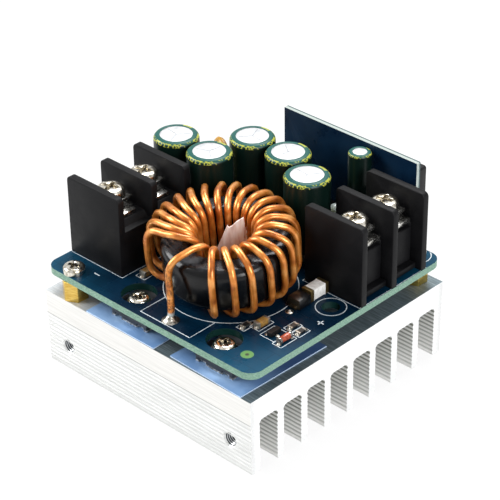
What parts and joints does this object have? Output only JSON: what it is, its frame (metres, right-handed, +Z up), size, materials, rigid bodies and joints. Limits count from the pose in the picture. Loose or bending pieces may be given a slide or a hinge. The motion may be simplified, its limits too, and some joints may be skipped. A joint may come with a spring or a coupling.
{
  "type": "buck converter module",
  "caption": "Open-frame step-down power converter: blue board on a finned aluminium heatsink, with toroid choke, capacitors and barrier terminals.",
  "frame": {"origin": "foot of the middle fin, under the centre of the heatsink", "axes": "+X along the heatsink's extrusion towards the input terminal, +Y towards the upright daughter board, +Z up"},
  "size_m": [0.06, 0.0641, 0.0445],
  "materials": {
    "bare_aluminium": "bare mill finish, extrusion lines",
    "silicone_pad": "matte light blue",
    "package_moulding": "matte grey epoxy moulding, tinned leads",
    "nickel_screw": "nickel plated",
    "spring_steel": "zinc plated",
    "standoff_brass": "turned, bright",
    "solder_mask": "blue solder mask, white legend lines, pale edge",
    "daughter_mask": "blue solder mask, pale edge",
    "terminal_plastic": "black moulded, slightly grained",
    "tinned_contact": "tin plated",
    "clamp_plating": "nickel plated",
    "core_coating": "black epoxy coat",
    "enamelled_copper": "copper under clear enamel",
    "insulation_paper": "torn pale insulation",
    "can_aluminium": "bright drawn can",
    "sleeve_film": "dark green shrink film with a pale stripe",
    "disc_coating": "dipped golden coat, tinned leads",
    "header_plastic": "black bar, gilt pins",
    "trimmer_plastic": "black case",
    "chip_ceramic": "tan ceramic, tinned ends",
    "resistor_body": "black glaze, tinned ends",
    "transistor_plastic": "black moulding, tinned legs",
    "diode_glass": "orange glass, tinned ends",
    "diode_plastic": "black moulding, tinned ends",
    "fuse_ceramic": "white ceramic, gilt end caps",
    "led_plastic": "clear water-white resin"
  },
  "bodies": {
    "root": {"heatsink": "bare_aluminium", "left_thermal_pad": "silicone_pad", "right_thermal_pad": "silicone_pad", "left_package": "package_moulding", "right_package": "package_moulding", "package_screws": "nickel_screw", "board_screws": "nickel_screw", "terminal_screws": "nickel_screw", "lock_washers": "spring_steel", "standoffs": "standoff_brass", "main_board": "solder_mask", "daughter_board": "daughter_mask", "output_terminal": "terminal_plastic", "input_terminal": "terminal_plastic", "output_contact_front": "tinned_contact", "output_contact_rear": "tinned_contact", "input_contact_front": "tinned_contact", "input_contact_rear": "tinned_contact", "clamp_washers": "clamp_plating", "inductor_core": "core_coating", "inductor_winding": "enamelled_copper", "insulation_strip": "insulation_paper", "capacitor_can_1": "can_aluminium", "capacitor_can_2": "can_aluminium", "capacitor_can_3": "can_aluminium", "capacitor_can_4": "can_aluminium", "capacitor_can_5": "can_aluminium", "small_capacitor_can": "can_aluminium", "capacitor_sleeve_1": "sleeve_film", "capacitor_sleeve_2": "sleeve_film", "capacitor_sleeve_3": "sleeve_film", "capacitor_sleeve_4": "sleeve_film", "capacitor_sleeve_5": "sleeve_film", "small_capacitor_sleeve": "sleeve_film", "disc_capacitor": "disc_coating", "pin_header": "header_plastic", "trimmer": "trimmer_plastic", "left_chip_capacitor": "chip_ceramic", "right_chip_capacitor": "chip_ceramic", "chip_resistor_1": "resistor_body", "chip_resistor_2": "resistor_body", "chip_resistor_3": "resistor_body", "sot_transistor": "transistor_plastic", "glass_diode": "diode_glass", "power_diode": "diode_plastic", "fuse": "fuse_ceramic", "indicator_led": "led_plastic"}
  },
  "joints": []
}
